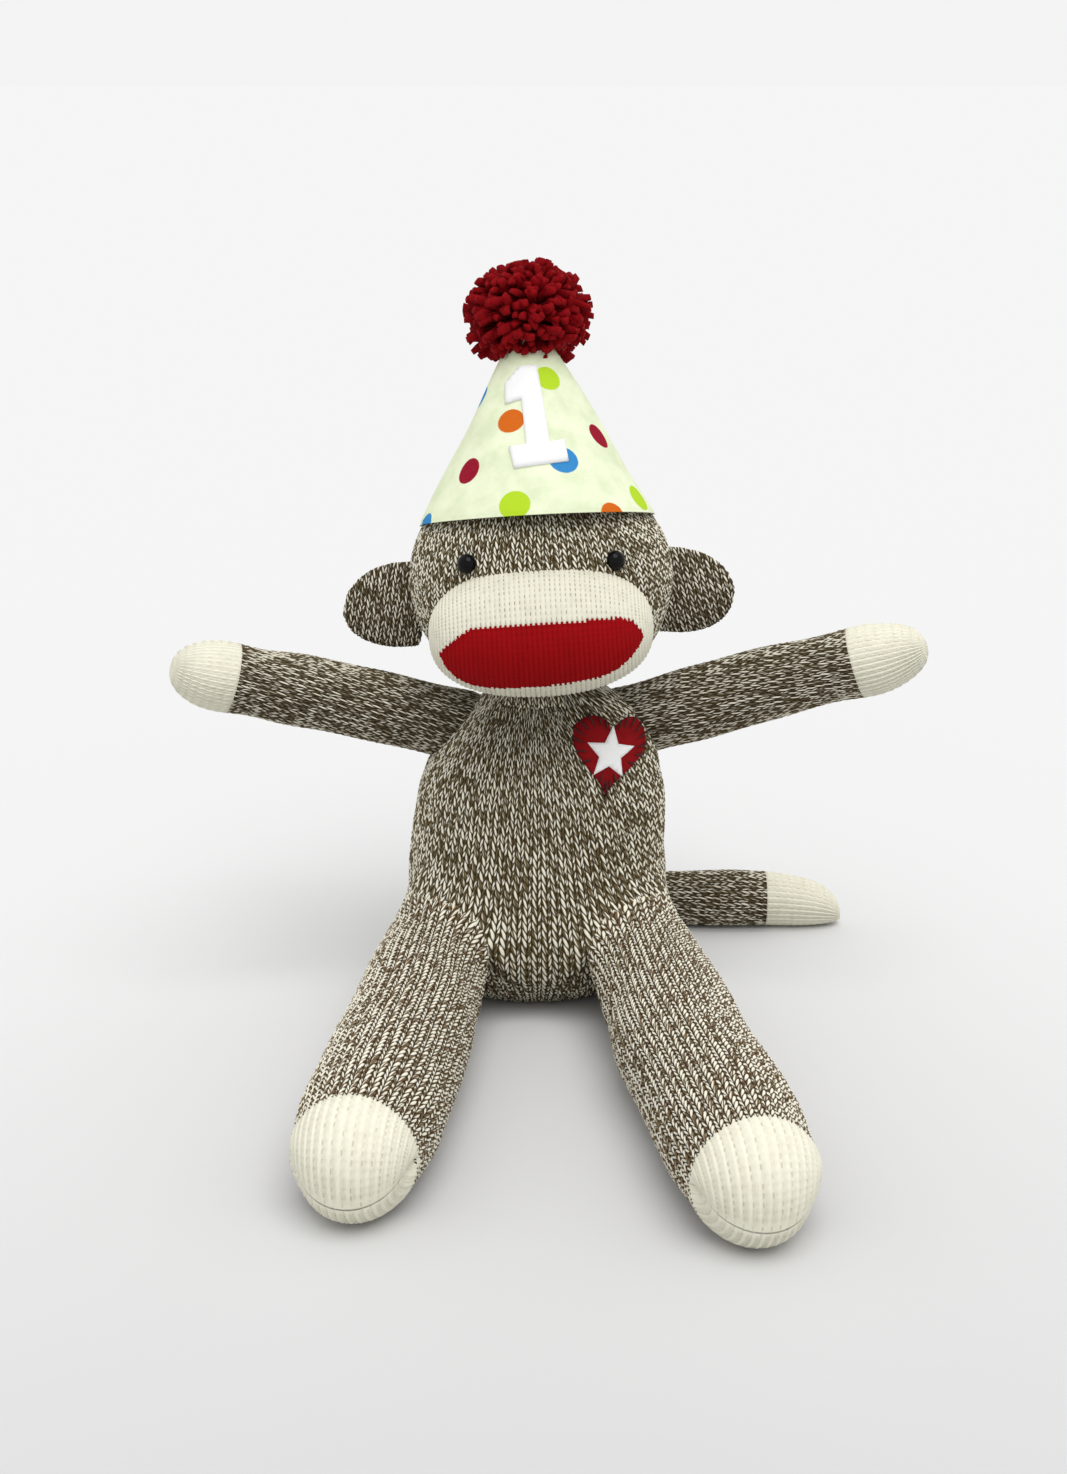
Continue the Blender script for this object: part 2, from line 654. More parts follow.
def limb_grid(start, end, radius, gauge, tip, back=2.0, shape=None, bend=0.0, on_floor=False):
    """A grid round a limb, from a closed point inside the body to its closed far end.

    The gauge is the width and height of one stitch there.
    """
    along, side, up = limb_axes(start, end)
    length = np.linalg.norm(end - start)
    reach, girth = limb_profile(length, radius, back, tip)
    run = run_along(reach, girth)
    wales = int(round(2 * math.pi * radius / gauge[0]))
    courses = int(round(run[-1] / gauge[1]))
    at = np.linspace(0, run[-1], courses * ROWS + 1)
    x, r = np.interp(at, run, reach), np.interp(at, run, girth)
    if shape is not None:
        r = r * shape(x / length)
    a, xx = np.meshgrid(ring_angles(wales), x, indexing="ij")
    rr = np.broadcast_to(r, a.shape)
    rise = bend * np.sin(np.clip(xx / length, 0, 1) * math.pi)
    if on_floor:
        rise = rise - np.where(xx > 0, radius - rr, 0) * 0.75
    points = (start + xx[..., None] * along + (rr * np.cos(a))[..., None] * side
              + (rr * np.sin(a) + rise)[..., None] * up)
    return points, wales, courses


def cut_row(points, along, pale):
    """The row between two courses where the pale end of a limb begins."""
    mean = (points @ along).mean(0)
    return int(round(float(np.interp(mean.max() - pale, mean, np.arange(len(mean)))) / ROWS)) * ROWS


def sew_on(limb, names, points, uv, cut, material, stands_for, end_for, fill, turns_over):
    """Part a limb's tube between two courses into its cover and its pale end.

    The cover turns softly between the torso and the limb, over a length along the limb.
    """
    start, end = LINES[limb]
    along = unit(end - start)
    cover = tube_mesh(names[0], points[:, :cut + 1], uv[:, :cut + 1], material)
    pale_end = tube_mesh(names[1], points[:, cut:], uv[:, cut:], "cream")
    dress(cover, None, *stands_for, slot="marled_knit", fill=fill)
    first, last = (tuple((start + along * at) * MM) for at in turns_over)
    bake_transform(cover)
    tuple(first)
    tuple(last)
    dress(pale_end, limb, *end_for, slot="cream_knit", fill=fill)


def build_arm(side, bend, pale, seed):
    """A sleeve that rises by bend in its middle, and a paw as long as pale says."""
    start, end = LINES[side + "_arm"]
    along = limb_axes(start, end)[0]

    def shape(t):
        return 1.0 + 0.02 * bell(t, 0.3, 0.2) - 0.04 * bell(t, 0.78, 0.1)

    points, wales, courses = limb_grid(start, end, ARM_R - 0.3, ARM_GAUGE, ARM_TIP, back=14.0,
                                       shape=shape, bend=bend)
    points = push(points, normals_of(points), lumps(points, 45, 1.2, seed))
    points[..., 1] += ROOT_SET_BACK * smoothstep(110, 30, np.abs(points[..., 0]))
    points, uv = knit(points, wales, courses, RELIEF * 0.85, 2, 3)
    sew_on(side + "_arm", (side + "_sleeve_knit", side + "_paw_knit"), points, uv,
           cut_row(points, along, pale), "limb",
           (side + "_sleeve", side + "_arm_stuffing", side + "_arm_thread"), (side + "_paw",),
           0.85, (-8, 26))


def toe_cap(start, end, radius, wales):
    """The foot's end: its knit runs over the toe and is closed by a level seam below the front."""
    along, side, up = limb_axes(start, end)
    a, t = np.meshgrid(ring_angles(wales), np.linspace(0, 1, TOE_COURSES * ROWS + 1), indexing="ij")
    over = np.where(np.sin(a) >= 0, 1.0, -1.0)
    seam = math.radians(TOE_SEAM_ANGLE) + over * 0.02
    slant = over * math.pi / 2 * (1 - t) + seam * t
    reach = radius * np.abs(np.sin(a))
    narrow = 1 - 0.16 * t ** 2 - np.where(over < 0, 0.08, 0.0) * np.sin(t * math.pi)
    lengthen = 1 - 0.05 * np.sin(t * math.pi / 2)
    return (end + (radius * np.cos(a) * narrow)[..., None] * side
            + (reach * np.cos(slant) * lengthen)[..., None] * along
            + (reach * np.sin(slant))[..., None] * up)


def build_leg(side, seed):
    """A leg that swells towards the knee and spreads at its root, and a foot with a toe seam."""
    start, end = LINES[side + "_leg"]
    along = limb_axes(start, end)[0]
    radius = LEG_R - 0.6

    def shape(t):
        return (0.97 + 0.13 * smoothstep(0.05, 0.45, t) * smoothstep(1.0, 0.84, t)
                + 0.03 * smoothstep(0.5, 0.95, t))

    points, wales, _ = limb_grid(start, end, radius, LEG_GAUGE, radius, shape=shape)
    share = (points - start) @ along / np.linalg.norm(end - start)
    points[..., 0] += math.copysign(ROOT_SPREAD, start[0]) * smoothstep(0.5, 0.0, share)
    mean = (points @ along).mean(0)
    last = int(np.searchsorted(mean, end @ along + 2.0)) // ROWS * ROWS
    end_here = start + along * float(mean[last] - start @ along)
    cap = toe_cap(start, end_here, radius, wales)
    points = np.concatenate([points[:, :last], cap], 1)
    courses = (points.shape[1] - 1) // ROWS
    normals = normals_of(points)
    points = push(points, normals, lumps(points, 60, 1.3, seed))
    near = smoothstep(105, 65, np.linalg.norm(points - start, axis=2))

    def own(at):
        return segment_distance(at, start, end) - LEG_R

    pushed = fillet(points, normals, own, torso_distance, HIP_BLEND, HIP_MOST)
    points = points + (pushed - points) * near[..., None]
    smooth = points
    points, uv = knit(points, wales, courses, RELIEF, 4, 2)
    calm = np.abs(np.sin(ring_angles(wales)))[:, None] ** 0.5 * np.ones(points.shape[1])
    calm[:, :last] = 1.0
    points = rest_on_ground(smooth + (points - smooth) * calm[..., None])
    sew_on(side + "_leg", (side + "_leg_knit", side + "_foot_knit"), points, uv, last, "leg",
           (side + "_leg_cover", side + "_leg_stuffing"), (side + "_foot", side + "_toe_thread"),
           0.9, (-10, 60))


def build_tail():
    start, end = LINES["tail"]
    along = limb_axes(start, end)[0]
    points, wales, courses = limb_grid(start, end, TAIL_R - 0.5, TAIL_GAUGE, TAIL_TIP,
                                       on_floor=True)
    points = push(points, normals_of(points), lumps(points, 40, 0.9, 41))
    points, uv = knit(points, wales, courses, RELIEF * 0.85, 2, 3)
    points = rest_on_ground(points, 1.8)
    sew_on("tail", ("tail_knit", "tail_tip_knit"), points, uv, cut_row(points, along, TAIL_PALE),
           "limb", ("tail_cover", "tail_stuffing", "tail_thread"), ("tail_tip",), 0.85, (-8, 22))


# ---- head
def build_head():
    """The head's knit, pressed in a little at the eyes."""
    wales, courses = 88, 50
    phi = np.linspace(-math.pi / 2 + 0.02, math.pi / 2 - 0.35, courses * ROWS + 1)
    a, p = np.meshgrid(ring_angles(wales, math.pi), phi, indexing="ij")
    # the jaw is fuller than the crown
    ring = np.cos(p) ** (0.94 - 0.2 * smoothstep(0, 0.5, -p))
    points = np.stack([HEAD_SEMI[0] * ring * np.sin(a), -HEAD_SEMI[1] * ring * np.cos(a),
                       HEAD_SEMI[2] * np.sin(p)], 2) + HEAD_CENTRE
    normals = normals_of(points)
    points = push(points, normals, lumps(points, 60, 1.1, 51))
    for place in EYES.values():
        away = np.linalg.norm(points - on_head(*place)[0], axis=2)
        points = push(points, normals, -1.6 * bell(away, 0, 6.5))
    points, uv = knit(points, wales, courses, RELIEF, 8, 1)
    piece = tube_mesh("head_knit", points, uv, "marled")
    dress(piece, "head", "head_cover", "head_stuffing", "left_eye_washer", "right_eye_washer",
          slot="marled_knit", fill=0.85)


def on_head(x, z):
    """The point of the head's front at a width and height, and the way out of it."""
    semi = HEAD_SEMI
    dx, dz = x - HEAD_CENTRE[0], z - HEAD_CENTRE[2]
    dy = -semi[1] * math.sqrt(max(1 - (dx / semi[0]) ** 2 - (dz / semi[2]) ** 2, 0))
    from_centre = np.array((dx, dy, dz))
    return HEAD_CENTRE + from_centre, unit(from_centre / semi ** 2)


def build_neck():
    """The gathered ring of cover between torso and head."""
    wales, low, high, nv = 42, 146.0, 170.0, 25
    wide, waist, waist_at, centre_y = 23.0, 6.0, (TORSO_TOP, 6.0), -3.0
    z = np.linspace(low, high, nv)
    a, zz = np.meshgrid(ring_angles(wales, math.pi), z, indexing="ij")
    radius = wide - waist * bell(zz, *waist_at) + 1.3 * np.sin(a * PLEATS)
    points = np.stack([radius * np.sin(a), centre_y - radius * np.cos(a), zz], 2)
    piece = tube_mesh("neck_knit", points, stitch_uv(wales, (z - low) / COURSE), "marled")
    dress(piece, "neck", "neck_wadding", "neck_thread", slot="marled_knit", fill=0.8)


# the red mouth's edge by width: where its upper and its lower border run
MOUTH_TOP = [(-45, 184), (-42, 188), (-36, 194), (-30, 198.3), (-15, 200.2), (0, 201.5),
             (25, 203), (37, 202.6), (43, 200), (47, 195), (48, 192)]
MOUTH_BOTTOM = [(-45, 184), (-42, 177.5), (-37, 172.5), (-30, 169.6), (-20, 169.2), (-6, 170.4),
                (14, 172.4), (28, 174.6), (36, 178), (42, 183), (46, 188), (48, 192)]
MUZZLE_TILT = 3.5
MUZZLE_COURSES = 66
MUZZLE_BACK = -34.0      # the muzzle is closed flat here, inside the head
TOOTH = 1.7              # how far the red stitches bite into the cream, and the cream into the red


def muzzle_grid():
    """Columns run from the top of the muzzle over its front to the chin."""
    semi = MUZZLE_SEMI - 0.3
    t = np.linspace(-1, 1, 1200) * (math.pi / 2 - 0.002)
    x, r = semi[0] * np.sin(t), np.cos(t) ** 0.86
    run = run_along(x, r * 33)
    wales = int(run[-1] / FINE_WALE)
    at = np.linspace(0, run[-1], wales * 4 + 1)
    turn = np.linspace(-0.5 * math.pi, 1.5 * math.pi, MUZZLE_COURSES * 3 + 1)
    rr, tt = np.meshgrid(np.interp(at, run, r), turn, indexing="ij")
    xx = np.broadcast_to(np.interp(at, run, x)[:, None], rr.shape)
    z = semi[2] * rr ** np.where(np.cos(tt) < 0, 0.86, 1.0) * np.cos(tt)
    c, s = math.cos(math.radians(MUZZLE_TILT)), math.sin(math.radians(MUZZLE_TILT))
    points = np.stack([xx * c - z * s, -semi[1] * rr * np.sin(tt), z * c + xx * s], 2)
    points = points + MUZZLE_CENTRE
    points[..., 1] = np.minimum(points[..., 1], MUZZLE_BACK)
    return points, wales


def sheet_normals(points, centre):
    """Unit normals of an open grid, pointing away from a centre."""
    normal = unit(np.cross(np.gradient(points, axis=0), np.gradient(points, axis=1)))
    return normal if np.einsum("ijk,ijk->", normal, points - centre) > 0 else -normal


def quad_middles(values):
    return (values[:-1, :-1] + values[1:, :-1] + values[1:, 1:] + values[:-1, 1:]) / 4


def build_muzzle():
    """The cream muzzle and the red mouth: one grid, parted along the mouth's toothed edge."""
    grid, wales = muzzle_grid()
    nu, nv = grid.shape[:2]
    u, v = np.linspace(0, wales, nu), np.linspace(0, MUZZLE_COURSES, nv)
    gu, gv = np.meshgrid(u, v, indexing="ij")
    grid = push(grid, sheet_normals(grid, MUZZLE_CENTRE), lumps(grid, 50, 0.9, 61))
    normal = sheet_normals(grid, MUZZLE_CENTRE)
    mx, mz = quad_middles(grid[..., 0]), quad_middles(grid[..., 2])
    bite = TOOTH * (2 * np.abs(quad_middles(gu) % 1 - 0.5) - 0.5)
    top = np.interp(mx, *zip(*MOUTH_TOP)) + bite
    bottom = np.interp(mx, *zip(*MOUTH_BOTTOM)) - bite
    red = (mz < top) & (mz > bottom) & (quad_middles(grid[..., 1]) < MUZZLE_CENTRE[1])
    red &= (mx > MOUTH_TOP[0][0]) & (mx < MOUTH_TOP[-1][0])
    count = np.zeros((nu, nv))
    for i, j in ((0, 0), (0, 1), (1, 0), (1, 1)):
        count[i:nu - 1 + i, j:nv - 1 + j] += red
    lift = np.abs(np.sin(math.pi * gu)) ** 0.6 * (0.8 + 0.2 * np.abs(np.sin(math.pi * gv)))
    grid = push(grid, normal, (lift - 0.6) * 0.55 - (count >= 4) * 0.35).reshape(-1, 3)
    index = np.arange(nu * nv).reshape(nu, nv)
    for is_red in (True, False):
        i, j = np.nonzero(red == is_red)
        quads = np.stack([index[i, j], index[i + 1, j], index[i + 1, j + 1], index[i, j + 1]], 1)
        corner = np.stack([np.stack([u[p], v[q]], 1) for p, q in
                           ((i, j), (i + 1, j), (i + 1, j + 1), (i, j + 1))], 1)
        if look_inward(quads, grid, MUZZLE_CENTRE):
            quads, corner = quads[:, ::-1], corner[:, ::-1]
        used, renumbered = np.unique(quads, return_inverse=True)
        piece = mesh_piece("mouth_knit" if is_red else "muzzle_knit", grid[used],
                           renumbered.reshape(quads.shape).tolist(), corner.reshape(-1, 2),
                           "mouth" if is_red else "muzzle")
        thicken(piece, 1.2)
        if is_red:
            dress(piece, "head", "mouth_panel", slot="red_knit", fill=0.85)
        else:
            dress(piece, "head", "muzzle_cover", "muzzle_stuffing", "muzzle_thread",
                  slot="cream_knit", fill=0.85)


def thicken(piece, depth):
    """Give an open sheet its cloth's thickness, inwards."""
    solid = piece.modifiers.new("thickness", "SOLIDIFY")
    solid.thickness = depth * MM
    solid.offset = -1
    bpy.context.view_layer.objects.active = piece
    with bpy.context.temp_override(object=piece, active_object=piece):
        bpy.ops.object.modifier_apply(modifier=solid.name)


# the eye's outline: (height over the cover, radius)
EYE_PROFILE = [(-4.0, 1.5), (-1.2, 1.6), (-1.0, 4.3), (-0.5, 4.6), (0.4, 4.62), (1.3, 4.4),
               (2.2, 3.9), (3.0, 3.1), (3.55, 2.1), (3.85, 1.1), (3.95, 0.15)]


def build_eye(side):
    """A domed plastic eye with a small collar where it presses the cover in."""
    point, out = on_head(*EYES[side])
    e1 = unit(np.cross(out, (0, 0, 1.0)))
    e2 = np.cross(e1, out)
    nu = 40
    angle = full_turn(nu)[:, None, None]
    rise, r = (np.array(column)[None, :, None] for column in zip(*EYE_PROFILE))
    points = point + out * (rise + 0.2) + r * np.cos(angle) * e1 + r * np.sin(angle) * e2
    uv = np.zeros((nu + 1, len(EYE_PROFILE), 2))
    piece = tube_mesh(side + "_eye_button", points, uv, "eye")
    sub = piece.modifiers.new("smooth", "SUBSURF")
    sub.levels = sub.render_levels = 2
    dress(piece, "head", side + "_eye", slot="black_plastic")


# ---- ears
def build_ear(side):
    """A puffy pad, round outside and flat where it is sewn on; its knit lies square to it."""
    sign = 1 if side == "left" else -1
    hinge = np.array(JOINTS[side + "_ear_fold"]["pos_m"]) / MM
    half_high, reach, thick, root = 21.0, 34.5, 6.4, 4.0
    phi = np.linspace(-math.pi / 2 + 0.03, math.pi / 2 - 0.03, 91)
    a, p = np.meshgrid(full_turn(220), phi, indexing="ij")
    x, y = np.cos(a), np.sin(a)
    ring = np.cos(p) ** 0.8
    px = np.where(x > 0, reach, root) * ring * np.sign(x) * np.abs(x) ** 0.9
    py = thick * ring * np.sign(y) * np.abs(y) ** 0.8 - 3.0 * np.clip(px / reach, 0, 1) ** 2
    pz = half_high * np.sin(p) - 2.0 * np.clip(px / reach, 0, 1)
    points = np.stack([px * sign, py, pz], 2) + hinge
    normals = normals_of(points)
    points = push(points, normals, lumps(points, 30, 0.6, 71))
    turn = math.radians(12 * sign)
    flat = np.stack([(px * sign * math.cos(turn) + pz * math.sin(turn)) / EAR_GAUGE[0],
                     (pz * math.cos(turn) - px * sign * math.sin(turn)) / EAR_GAUGE[1]], 2) + 40
    height = (stitch_height(flat[..., 0], flat[..., 1]) - 0.5) * RELIEF
    points = push(points, normals, height * np.minimum(ring * 3, 1))
    piece = tube_mesh(side + "_ear_knit", points, np.concatenate([flat, flat[:1]]), "limb")
    dress(piece, side + "_ear", side + "_ear_cover", side + "_ear_wadding", side + "_ear_thread",
          slot="marled_knit", fill=0.75)


# ---- hat
HAT_FRAME = (Matrix.Translation(HAT_CENTRE) @ Matrix.Rotation(math.radians(-HAT_LEAN_SIDE), 4, "Y")
             @ Matrix.Rotation(math.radians(-HAT_LEAN_BACK), 4, "X"))
HAT_TURN = np.array(HAT_FRAME)[:3, :3]
HAT_AT = np.array(HAT_FRAME)[:3, 3]


def hat_to_row(points):
    return np.asarray(points) @ HAT_TURN.T + HAT_AT


def hat_surface(angle, height, out=0.0):
    """A point of the felt in the hat's own frame: angle 0 is the front."""
    wobble = 0.9 * np.sin(angle * 3 + height * 0.05) + 0.7 * np.sin(angle * 5 + 1.0 + height * 0.11)
    radius = HAT_R * (1 - height / HAT_H) + out + wobble * 0.6
    return np.stack([radius * np.sin(angle), -radius * np.cos(angle), height + 0 * angle], -1)


def build_hat():
    """The felt's two faces and its cut edges; the UV is the cone laid flat, in millimetres."""
    felt, nu = 1.5, 240
    heights = np.concatenate([[-1.0, -0.6, 0.0, 0.8], np.linspace(2.0, 86, 60)])
    angle = full_turn(nu) + math.pi
    a, h = np.meshgrid(angle, heights, indexing="ij")
    outer = hat_surface(a, h, np.where(h < 0.5, -0.35, 0.0))
    points = np.concatenate([hat_surface(a, h[:, ::-1], -felt), outer], 1)
    heights = np.concatenate([heights[::-1], heights])
    nv = points.shape[1]
    points = hat_to_row(points).reshape(-1, 3)
    slant = math.hypot(HAT_R, HAT_H)

    def flat(column, row):
        far = slant * (1 - heights[row] / HAT_H)
        turn = (column * 2 * math.pi / nu - math.pi) * HAT_R / slant
        return np.stack([far * np.sin(turn), -far * np.cos(turn)], 1)

    i, j, quads = ring_quads(nu, nv)
    corner = np.stack([flat(i, j), flat(i + 1, j), flat(i + 1, j + 1), flat(i, j + 1)], 1)
    n = np.arange(nu)
    m = (n + 1) % nu
    rim = np.stack([n * nv + nv - 1, m * nv + nv - 1, m * nv, n * nv], 1)
    if look_inward(quads[j > nv // 2], points, points.mean(0)):     # the outer face alone
        quads, corner, rim = quads[:, ::-1], corner[:, ::-1], rim[:, ::-1]
    off_the_dots = np.tile((0.0, 300.0), (4 * nu, 1))
    piece = mesh_piece("party_hat", points, np.concatenate([quads, rim]).tolist(),
                       np.concatenate([corner.reshape(-1, 2), off_the_dots]), "hat")
    dress(piece, "head", "hat_cone", "hat_filling", "hat_thread", slot="printed_felt")


def felt_shape(name, outline, thickness, step, place, material, crease=None):
    """A cut felt shape with rounded edges, laid on a surface by place(x, z, out)."""
    bm = bmesh.new()
    face = bm.faces.new([bm.verts.new((x, z, 0)) for x, z in outline])
    bmesh.ops.recalc_face_normals(bm, faces=[face])
    if face.normal.z < 0:
        face.normal_flip()
    for width in (0.35, 0.7):
        bmesh.ops.inset_region(bm, faces=[f for f in bm.faces if f.tag or f is face],
                               thickness=width, use_even_offset=True)
    for axis, values in enumerate(zip(*outline)):
        cut = min(values) + step
        while cut < max(values):
            spot, normal = [0, 0, 0], [0, 0, 0]
            spot[axis], normal[axis] = cut, 1
            bmesh.ops.bisect_plane(bm, geom=bm.verts[:] + bm.edges[:] + bm.faces[:],
                                   plane_co=spot, plane_no=normal)
            cut += step
    bmesh.ops.triangulate(bm, faces=[f for f in bm.faces if len(f.verts) > 4])
    bm.verts.index_update()
    flat = [(v.co.x, v.co.y) for v in bm.verts]
    faces = [[v.index for v in f.verts] for f in bm.faces]
    loops = [e.link_loops[0] for e in bm.edges if e.is_boundary]
    sides = [(loop.vert.index, loop.link_loop_next.vert.index) for loop in loops]
    bm.free()
    first = np.array(outline, float)
    line = np.roll(first, -1, 0) - first

    def margin(x, z):
        share = np.clip((((x, z) - first) * line).sum(1) / (line * line).sum(1), 0, 1)
        return float(np.linalg.norm((x, z) - first - share[:, None] * line, axis=1).min())

    count = len(flat)
    top, bottom = [], []
    for x, z in flat:
        near = min(margin(x, z) / 0.9, 1)
        rise = thickness * (0.55 + 0.45 * math.sqrt(max(1 - (1 - near) ** 2, 0)))
        if crease is not None:
            rise += crease(x, z)
        top.append(place(x, z, rise))
        bottom.append(place(x, z, -0.4))
    faces += [[n + count for n in reversed(f)] for f in faces]
    faces += [[b, a, a + count, b + count] for a, b in sides]
    uvs = [flat[n % count] for f in faces for n in f]
    return mesh_piece(name, np.array(top + bottom), faces, uvs, material)


def turned(x, z, degrees):
    c, s = math.cos(math.radians(degrees)), math.sin(math.radians(degrees))
    return x * c - z * s, x * s + z * c


def build_numeral():
    """A plain block figure one, leaning a little, on the hat's front."""
    half, stem, high, serif = 14.0, 5.3, 48.5, 10.5
    lean, above_brim, aside = 5.0, 22.0, 3.0
    outline = [(-half + 1, 0), (half + 0.5, 0), (half, serif), (stem + 1.0, serif - 0.5),
               (stem, high - 0.5), (-stem + 1, high), (-half, high - 7), (-half - 0.5, high - 17),
               (-stem, high - 16), (-stem - 0.4, serif), (-half - 0.5, serif)]

    def place(x, z, rise):
        rx, rz = turned(x, z, lean)
        height = above_brim + rz
        radius = HAT_R * (1 - height / HAT_H) + 1.0
        angle = (rx + aside) / max(radius + 3, 8)
        slope = HAT_R / HAT_H
        out = np.array((math.sin(angle), -math.cos(angle), slope)) / math.hypot(1, slope)
        return hat_to_row(hat_surface(np.array(angle), np.array(height)) + out * (rise + 0.1))

    def crease(x, z):
        return 0.5 * math.exp(-(x / 1.1) ** 2) * (1 if 6 < z < 46 else 0)

    piece = felt_shape("hat_numeral_felt", outline, 1.5, 2.0, place, "white", crease)
    dress(piece, "head", "hat_numeral", slot="white_felt")


# ---- chest trim
def chest_surface(x, z, out):
    """A point of the chest's front at a width and height, and a distance out of it."""
    def at(px, pz):
        angle = 0.5
        for _ in range(30):
            radius = float(torso_radius(np.array(angle), np.array(pz)))
            share = px / radius
            level = max(-0.8, min(0.8, share))
            angle = 0.5 * angle + 0.5 * (math.asin(level) + (share - level) * 1.67)
        return np.array((radius * math.sin(angle), -radius * math.cos(angle), pz))

    spot = at(x, z)
    normal = unit(np.cross(at(x + 2, z) - at(x - 2, z), at(x, z + 2) - at(x, z - 2)))
    if normal[1] > 0:
        normal = -normal
    return spot + normal * (out + 1.0)


def heart_points(half, count=64):
    points = []
    for i in range(count):
        t = 2 * math.pi * i / count
        x = math.sin(t) ** 3
        z = (13 * math.cos(t) - 5 * math.cos(2 * t) - 2 * math.cos(3 * t) - math.cos(4 * t)) / 16
        points.append(turned(x * half, (z + 0.1) * half, HEART_TURN))
    return points


def chest_place(x, z, rise):
    return chest_surface(HEART_CENTRE[0] + x, HEART_CENTRE[1] + z, rise)


def cord_between(points, radius, sides=7):
    """A thin round thread along a short path, narrow at its ends, as a closed tube's grid."""
    points = np.asarray(points, float)
    tangents = unit(np.gradient(points, axis=0))
    e1 = unit(np.cross(tangents, (0.3, 0.2, 0.9)))
    e2 = np.cross(tangents, e1)
    swell = np.full((len(points), 1), radius)
    swell[[0, -1]] *= 0.35
    angle = full_turn(sides)[:, None, None]
    return points + swell * (np.cos(angle) * e1 + np.sin(angle) * e2)


def star_points(radius):
    points = []
    for i in range(10):
        length = radius if i % 2 == 0 else radius * 0.46
        angle = math.pi / 2 + i * math.pi / 5
        points.append(turned(length * math.cos(angle), length * math.sin(angle), HEART_TURN))
    return points


def build_chest():
    heart = felt_shape("heart_felt", heart_points(HEART_EDGE), 1.3, 2.2, chest_place, "heart")
    dress(heart, "torso", "heart_patch", slot="red_felt")
    star = felt_shape("star_felt", star_points(STAR_R), 1.0, 2.0,
                      lambda x, z, rise: chest_place(x, z, rise + 1.25), "white")
    dress(star, "torso", "star_patch", slot="white_felt")
    legs = []
    for outer, inner in zip(heart_points(HEART_EDGE, 30), heart_points(HEART_HALF - 4.2, 30)):
        if math.hypot(*inner) < STAR_R * 0.7:
            continue
        middle = (outer[0] + inner[0]) / 2, (outer[1] + inner[1]) / 2
        path = [chest_place(outer[0] * 1.04, outer[1] * 1.04, 0.4), chest_place(*outer, 1.75),
                chest_place(*middle, 1.95), chest_place(*inner, 1.4)]
        legs.append(cord_between(path, 0.5))
    stitches = strand_group("heart_blanket_stitches", legs, "dark_thread")
    dress(stitches, "torso", "heart_stitching", slot="dark_red_thread")


# ---- pompom
def build_pompom():
    """Cut yarn tied in the middle: thick strands of nearly one length, a little flattened."""
    centre = np.array(HAT_FRAME @ Vector((0, 0, POMPOM_RISE)))
    axis = HAT_TURN @ np.array((0, 0, 1.0))
    rng = np.random.default_rng(7)
    golden = math.pi * (3 - math.sqrt(5))
    grids = []
    for n in range(POMPOM_STRANDS):
        z = 1 - 2 * (n + 0.5) / POMPOM_STRANDS
        ring = math.sqrt(1 - z * z)
        direction = np.array((ring * math.cos(golden * n), ring * math.sin(golden * n), z))
        direction = unit(direction + rng.normal(scale=0.09, size=3))
        if direction @ axis < -0.84:
            continue
        reach = rng.uniform(0.84, 1.03) * np.linalg.norm(direction * POMPOM_SEMI)
        if direction @ axis < -0.5 and direction[1] < 0:
            reach *= 0.9
        swirl = unit(np.cross(direction, rng.normal(size=3)))
        share = np.linspace(0, 1, 9)
        path = (centre + direction * (5 + (reach - 5) * share[:, None])
                + swirl * (rng.uniform(-5, 5) * np.sin(share * math.pi)[:, None])
                - np.array((0, 0, 1.5)) * share[:, None] ** 2)
        grids.append(yarn_strand(path, rng.uniform(1.5, 2.2), rng.uniform(0, 6.28)))
    piece = strand_group("pompom_strands", grids, "pompom")
    dress(piece, "pompom", "pompom_yarn", "pompom_tie", slot="red_yarn")


def yarn_strand(path, radius, twist, sides=12):
    """A thick three-ply yarn: a lobed section that turns along the strand, cut square."""
    count = len(path)
    tangent = unit(path[-1] - path[0])
    e1 = unit(np.cross(tangent, (0.31, 0.17, 0.93)))
    e2 = np.cross(tangent, e1)
    j = np.arange(count)
    swell = np.interp(j / (count - 1), [0, 0.55, 0.9, 1.0], [0.35, 0.8, 1.08, 0.8]) * radius
    angle = full_turn(sides)
    turn = twist + j * 0.55
    lobes = 1 + 0.2 * np.cos(3 * (angle[:, None] - turn[None, :]))
    r = swell[None, :] * lobes
    return (path[None] + (r * np.cos(angle)[:, None])[..., None] * e1
            + (r * np.sin(angle)[:, None])[..., None] * e2)


def strand_group(name, grids, material):
    """Many short closed tubes of one size in one mesh; the UV tells them apart by hundreds."""
    nu, nv = grids[0].shape[:2]
    i, j, quads = ring_quads(nu, nv)
    quads = quads[:, [0, 3, 2, 1]]
    corner = np.stack([np.stack(pair, 1) for pair in
                       ((j, i), (j + 1, i), (j + 1, i + 1), (j, i + 1))], 1).astype(float)
    start = np.arange(nu) * nv
    end = (start + nv - 1)[::-1]
    faces, uvs = [], []
    for n in range(len(grids)):
        base = n * nu * nv
        faces.extend((quads + base).tolist())
        faces.extend([(start + base).tolist(), (end + base).tolist()])
        uvs.append(corner.reshape(-1, 2) + (n * 100.0, 0))
        uvs.append(np.tile([[n * 100.0, 0.0]], (2 * nu, 1)))
    vertices = np.concatenate([grid.reshape(-1, 3) for grid in grids])
    return mesh_piece(name, vertices, faces, np.concatenate(uvs), material)


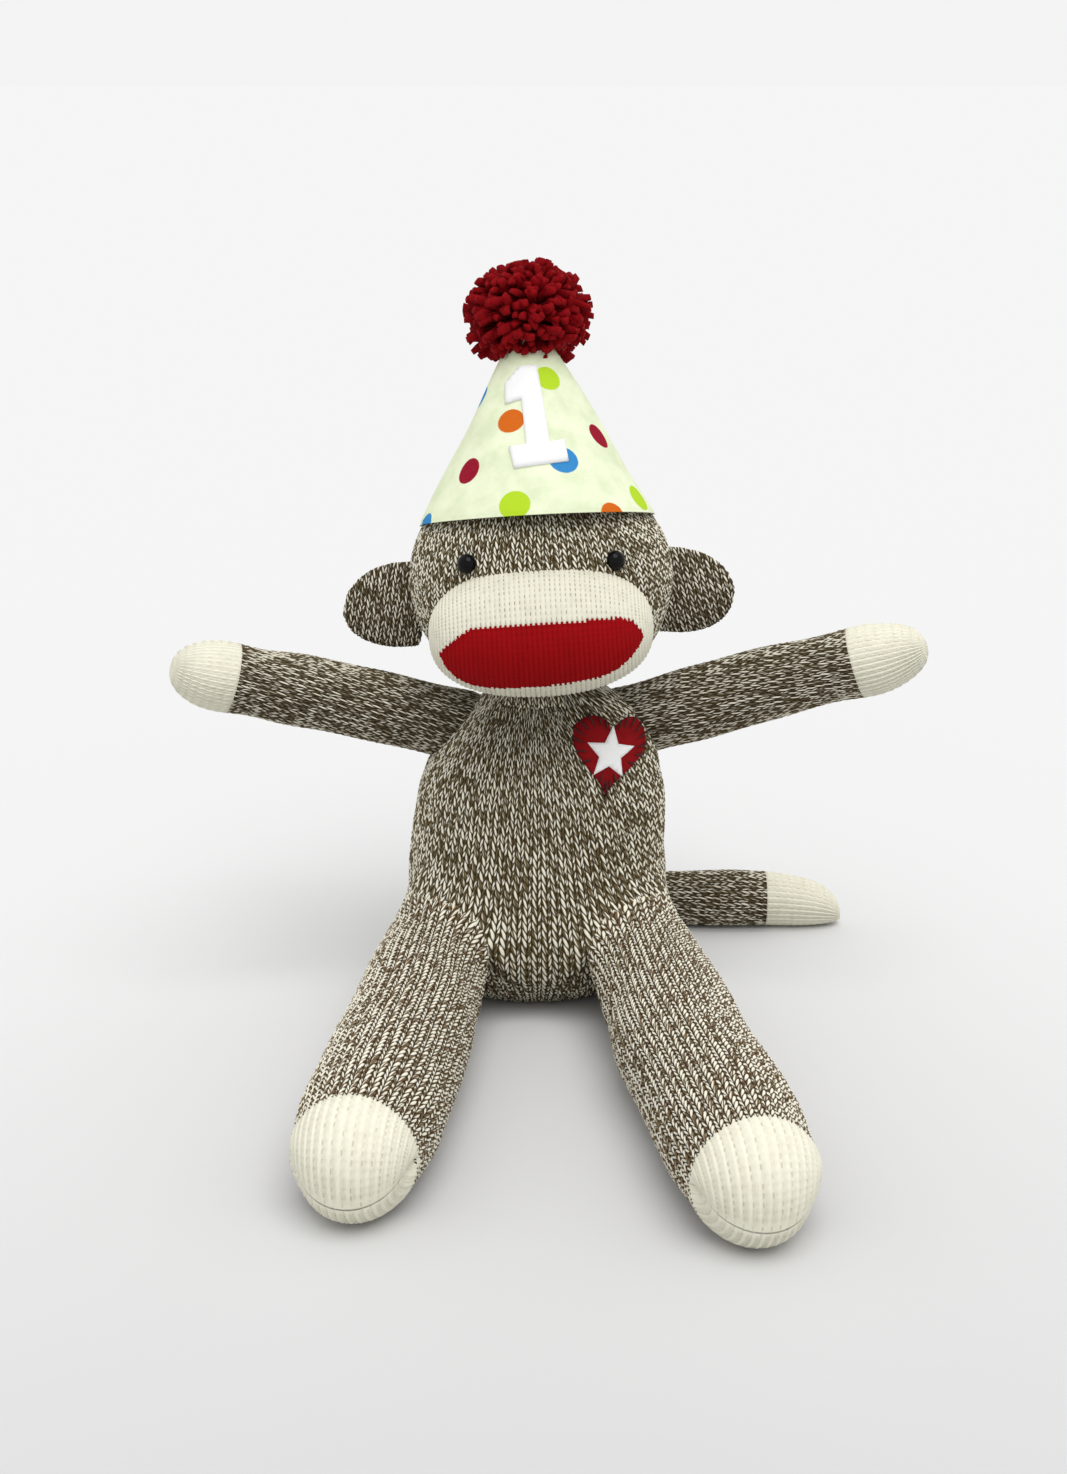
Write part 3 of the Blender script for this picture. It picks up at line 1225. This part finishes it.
# ---- stage
FLOOR_NEAR, FLOOR_NEAR_PATCH = (0.496, 0.496, 0.498, 1), (0.504, 0.504, 0.506, 1)
FLOOR_FAR = (0.685, 0.685, 0.685, 1)
FLOOR_DARKEST = 0.9              # metres in front of the object
SKY_STRENGTH = 0.9
SUN_STRENGTH, SUN_DEGREES = 1.5, 45
SUN_DIRECTION = Vector((-0.14, 0.42, -1.0))
CAMERA_PLACE = Vector((-2, -1000, 433))
CAMERA_DOWN = 17.2               # degrees below level
CAMERA_LENS, CAMERA_SENSOR = 51.8, 36


def build_stage():
    """A pale plain floor under an even pale sky, and one soft, wide key light."""
    bpy.ops.mesh.primitive_plane_add(size=400, location=(0, 0, 0))
    floor = bpy.context.object
    floor.name = "studio_floor"
    g = Graph("floor_paint")
    aside, ahead = g.apart(g.place())
    ahead = g.plus(ahead, FLOOR_DARKEST)
    away = g.sum("SQRT", g.plus(g.times(aside, aside), g.times(ahead, ahead)))
    near = g.mix(g.noise(g.place(), 3.0, 2.0), FLOOR_NEAR, FLOOR_NEAR_PATCH)
    shade = g.mix(g.step(0.05, 1.05, away), near, FLOOR_FAR)
    floor.data.materials.append(g.finish(shade, None, 1.0, Specular_IOR_Level=0.0))
    world = bpy.data.worlds.new("studio")
    bpy.context.scene.world = world
    world.use_nodes = True
    sky = world.node_tree.nodes["Background"]
    sky.inputs[0].default_value = (1.0, 1.0, 1.0, 1.0)
    sky.inputs[1].default_value = SKY_STRENGTH
    sun = bpy.data.lights.new("key", "SUN")
    sun.energy, sun.angle = SUN_STRENGTH, math.radians(SUN_DEGREES)
    lamp = bpy.data.objects.new("key", sun)
    lamp.rotation_euler = SUN_DIRECTION.to_track_quat("-Z", "Y").to_euler()
    bpy.context.collection.objects.link(lamp)


def build_camera():
    data = bpy.data.cameras.new("camera")
    data.lens, data.sensor_width = CAMERA_LENS, CAMERA_SENSOR
    camera = bpy.data.objects.new("camera", data)
    camera.location = CAMERA_PLACE * MM
    camera.rotation_euler = (math.radians(90 - CAMERA_DOWN), 0, 0)
    bpy.context.collection.objects.link(camera)
    bpy.context.scene.camera = camera


build_camera()
build_stage()
build_torso()
build_neck()
for each in ("left", "right"):
    build_leg(each, LEG_SEEDS[each])
    build_ear(each)
    build_eye(each)
for each, measures in ARMS.items():
    build_arm(each, *measures)
build_tail()
build_head()
build_muzzle()
build_hat()
build_numeral()
build_chest()
build_pompom()
bpy.context.scene.view_settings.view_transform = "Standard"
